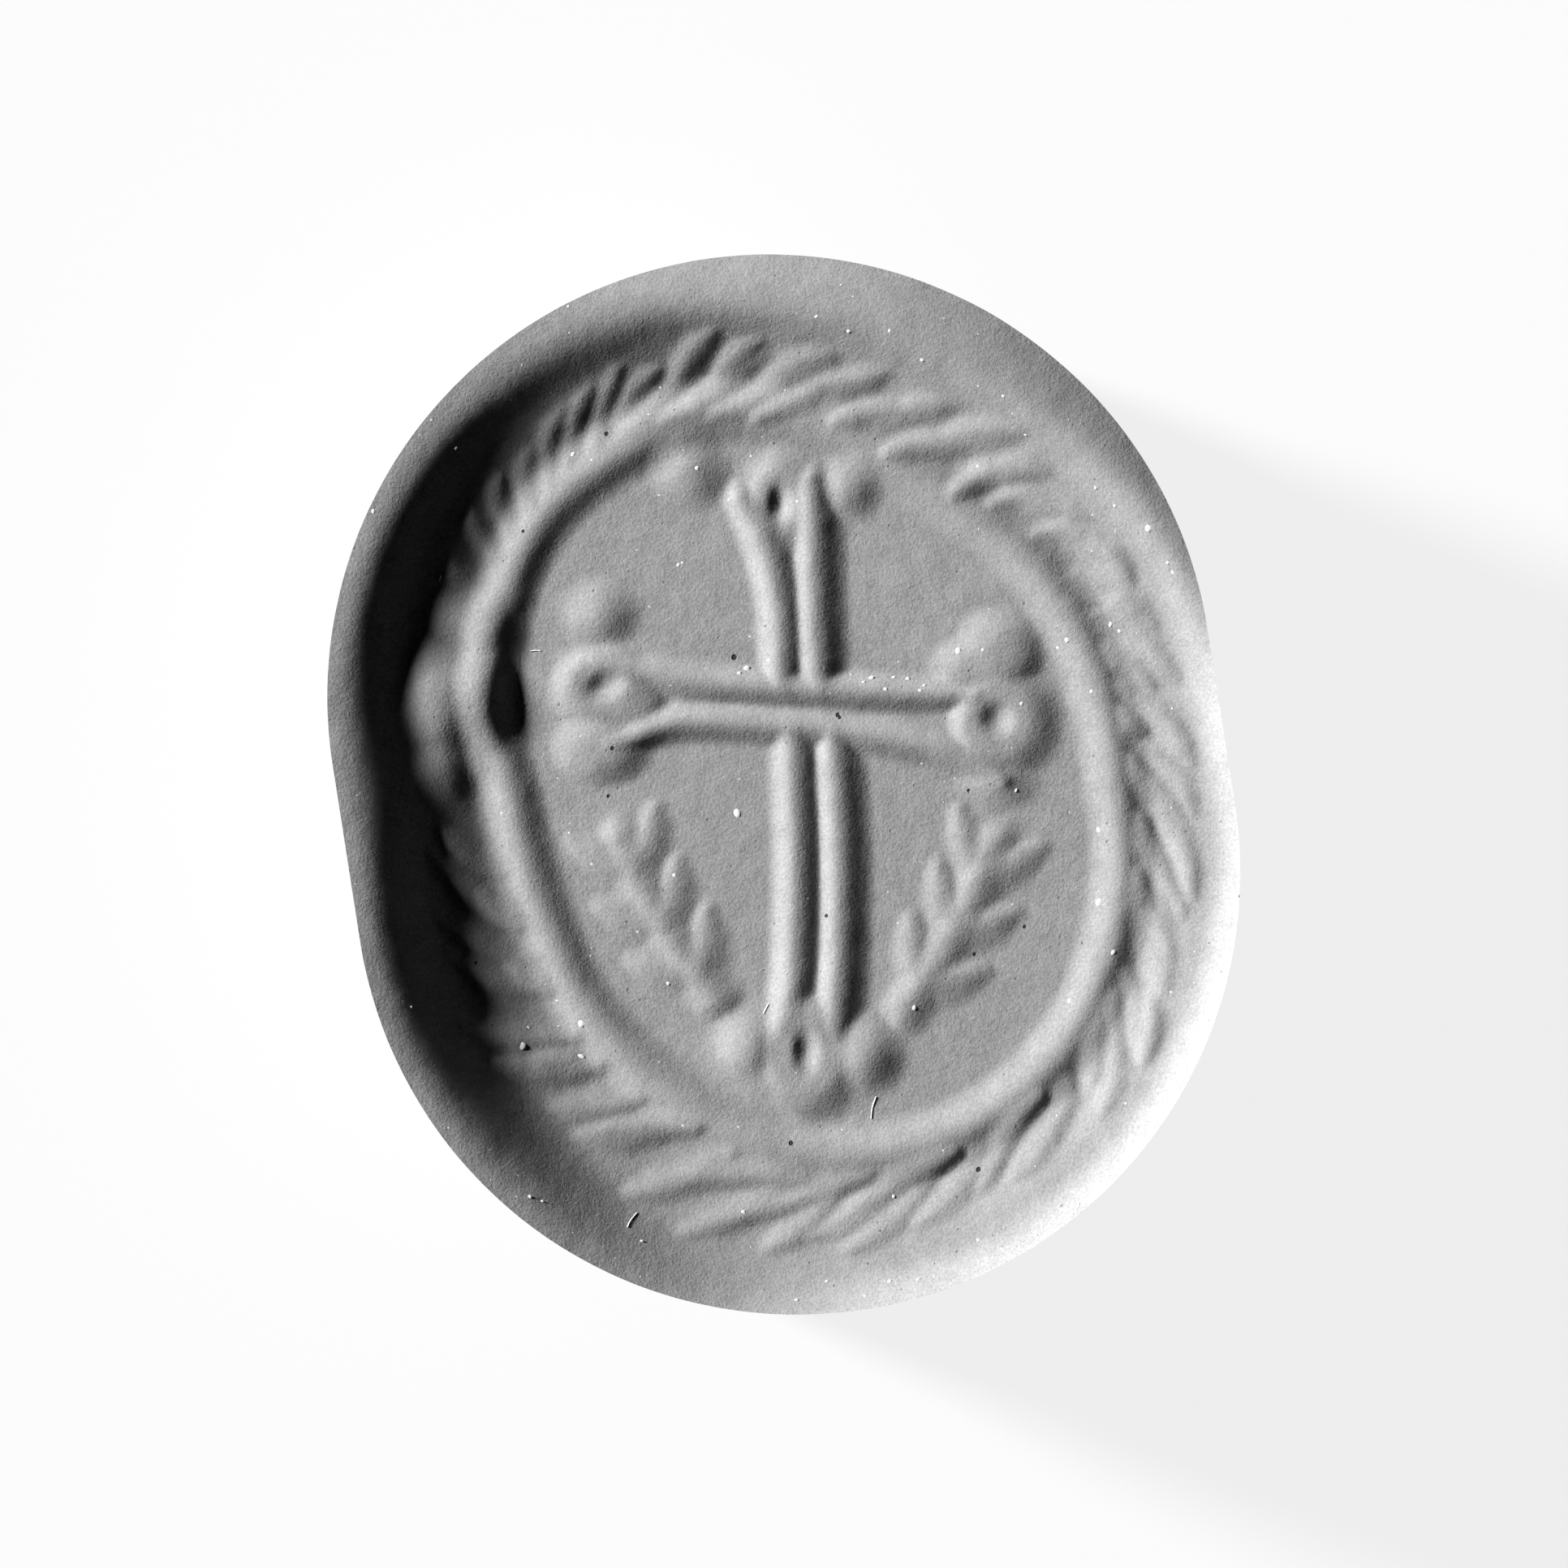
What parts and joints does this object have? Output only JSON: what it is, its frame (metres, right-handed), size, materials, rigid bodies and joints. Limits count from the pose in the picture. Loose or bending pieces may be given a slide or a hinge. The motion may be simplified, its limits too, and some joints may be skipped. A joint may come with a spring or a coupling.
{
  "type": "pendant seal",
  "caption": "Oval pendant seal impression with a raised rim, leafy border, oval band and a double-line cross between palm branches, on a flat back with a cord channel.",
  "frame": {"origin": "centre of the bottom of the bounding box, on the plane of the back's resting face", "axes": "+Z out of the impressed face, +Y to the top of the design, +X to the right of the design"},
  "size_m": [0.0224, 0.026, 0.0073],
  "materials": {
    "front_compound": "matt, fine grained",
    "back_compound": "matt, fine grained"
  },
  "bodies": {
    "root": {"front_cake": "front_compound", "back_cake": "back_compound"}
  },
  "joints": []
}
